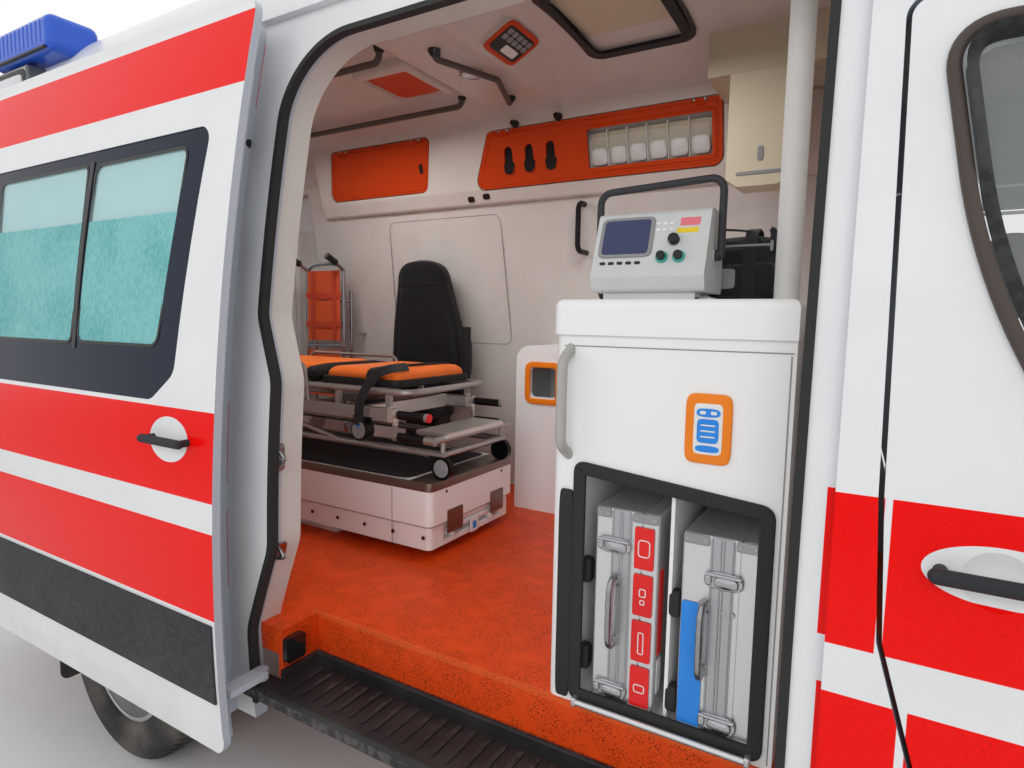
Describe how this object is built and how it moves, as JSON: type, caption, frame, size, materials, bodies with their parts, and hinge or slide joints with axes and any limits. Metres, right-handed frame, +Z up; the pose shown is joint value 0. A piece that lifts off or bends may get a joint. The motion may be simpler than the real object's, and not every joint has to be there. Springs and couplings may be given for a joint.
{
  "type": "high-roof ambulance van",
  "caption": "High-roof ambulance van with an open sliding side door, a fitted treatment room, a stretcher on its platform, hinged doors, a bonnet, steering and rolling wheels.",
  "frame": {"origin": "on the ground under the middle of the whole vehicle", "axes": "+X to the front of the vehicle, +Y to its left, +Z up"},
  "size_m": [5.9112, 2.43, 2.86],
  "materials": {
    "paint_white": "gloss",
    "trim_black": "satin",
    "rubber": "matte",
    "tyre": "matte",
    "rim_silver": "satin",
    "steel": "satin",
    "chassis": "satin",
    "glass": "gloss",
    "lamp_clear": "gloss",
    "beacon_blue": "gloss",
    "lining": "satin",
    "floor_orange": "gloss",
    "furniture_white": "satin",
    "orange_panel": "satin",
    "case_aluminium": "satin",
    "monitor_grey": "satin",
    "fabric_black": "matte",
    "pad_orange": "satin"
  },
  "bodies": {
    "root": {"blue_beacons": "beacon_blue", "bulkhead": "lining", "bumpers": "trim_black", "carry_chair": "steel", "ceiling_fittings": "lining", "dashboard": "trim_black", "door_seal": "rubber", "engine": "chassis", "entry_step": "trim_black", "equipment_bag": "fabric_black", "equipment_cases": "case_aluminium", "fixed_glass": "glass", "floor": "floor_orange", "front_frame": "paint_white", "front_suspension": "chassis", "front_wings": "paint_white", "grab_rails": "trim_black", "grille": "trim_black", "lamps": "lamp_clear", "low_cabinet": "furniture_white", "monitor": "monitor_grey", "pads": "pad_orange", "paper_dispenser": "furniture_white", "rear_axle": "chassis", "roof": "paint_white", "seats": "fabric_black", "side_cabinet": "furniture_white", "side_panels": "paint_white", "side_trim": "trim_black", "sliding_door": "paint_white", "stretcher_frame": "steel", "stretcher_platform": "furniture_white", "underframe": "chassis", "upper_cupboards": "furniture_white", "wall_lining": "lining", "wheel_liners": "trim_black"},
    "knuckle_left": {"knuckle_left": "chassis"},
    "knuckle_right": {"knuckle_right": "chassis"},
    "wheel_front_left": {"tyre_front_left": "tyre", "rim_front_left": "rim_silver"},
    "wheel_front_right": {"tyre_front_right": "tyre", "rim_front_right": "rim_silver"},
    "wheel_rear_left": {"tyre_rear_left": "tyre", "rim_rear_left": "rim_silver"},
    "wheel_rear_right": {"tyre_rear_right": "tyre", "rim_rear_right": "rim_silver"},
    "door_front_left": {"front_door_left": "paint_white", "front_door_glass_left": "glass", "front_door_trim_left": "trim_black"},
    "door_front_right": {"front_door_right": "paint_white", "front_door_glass_right": "glass", "front_door_trim_right": "trim_black"},
    "door_rear_left": {"rear_door_left": "paint_white", "rear_door_glass_left": "glass"},
    "door_rear_right": {"rear_door_right": "paint_white", "rear_door_glass_right": "glass"},
    "bonnet": {"bonnet": "paint_white"},
    "flap_rear": {"cupboard_flap_rear": "orange_panel"},
    "flap_front": {"cupboard_flap_front": "orange_panel"}
  },
  "joints": [
    {"name": "steer_left", "type": "hinge", "parent": "root", "child": "knuckle_left", "pos_m": [1.951, 0.705, 0.356], "axis": [0, 0, 1], "range_deg": [-33, 33]},
    {"name": "steer_right", "type": "hinge", "parent": "root", "child": "knuckle_right", "pos_m": [1.951, -0.705, 0.356], "axis": [0, 0, 1], "range_deg": [-33, 33]},
    {"name": "roll_front_left", "type": "hinge", "parent": "knuckle_left", "child": "wheel_front_left", "pos_m": [1.951, 0.855, 0.356], "axis": [0, 1, 0], "continuous": true},
    {"name": "roll_front_right", "type": "hinge", "parent": "knuckle_right", "child": "wheel_front_right", "pos_m": [1.951, -0.855, 0.356], "axis": [0, 1, 0], "continuous": true},
    {"name": "roll_rear_left", "type": "hinge", "parent": "root", "child": "wheel_rear_left", "pos_m": [-1.714, 0.855, 0.356], "axis": [0, 1, 0], "continuous": true},
    {"name": "roll_rear_right", "type": "hinge", "parent": "root", "child": "wheel_rear_right", "pos_m": [-1.714, -0.855, 0.356], "axis": [0, 1, 0], "continuous": true},
    {"name": "front_door_left_swing", "type": "hinge", "parent": "root", "child": "door_front_left", "pos_m": [1.62, 1.001, 0.8], "axis": [0, 0, -1], "range_deg": [0, 70]},
    {"name": "front_door_right_swing", "type": "hinge", "parent": "root", "child": "door_front_right", "pos_m": [1.62, -1.001, 0.8], "axis": [0, 0, 1], "range_deg": [0, 70]},
    {"name": "rear_door_left_swing", "type": "hinge", "parent": "root", "child": "door_rear_left", "pos_m": [-2.905, 0.804, 0.8], "axis": [0, 0, -1], "range_deg": [0, 180]},
    {"name": "rear_door_right_swing", "type": "hinge", "parent": "root", "child": "door_rear_right", "pos_m": [-2.905, -0.804, 0.8], "axis": [0, 0, 1], "range_deg": [0, 180]},
    {"name": "bonnet_lift", "type": "hinge", "parent": "root", "child": "bonnet", "pos_m": [2.232, 0, 1.346], "axis": [0, -1, 0], "range_deg": [0, 50]},
    {"name": "flap_rear_lift", "type": "hinge", "parent": "root", "child": "flap_rear", "pos_m": [-1.9, 0.586, 2.54], "axis": [-1, 0, 0], "range_deg": [0, 85]},
    {"name": "flap_front_lift", "type": "hinge", "parent": "root", "child": "flap_front", "pos_m": [-0.7, 0.586, 2.515], "axis": [-1, 0, 0], "range_deg": [0, 85]}
  ],
  "couplings": [
    {"joint": "steer_right", "follows": "steer_left", "ratio": 1}
  ]
}
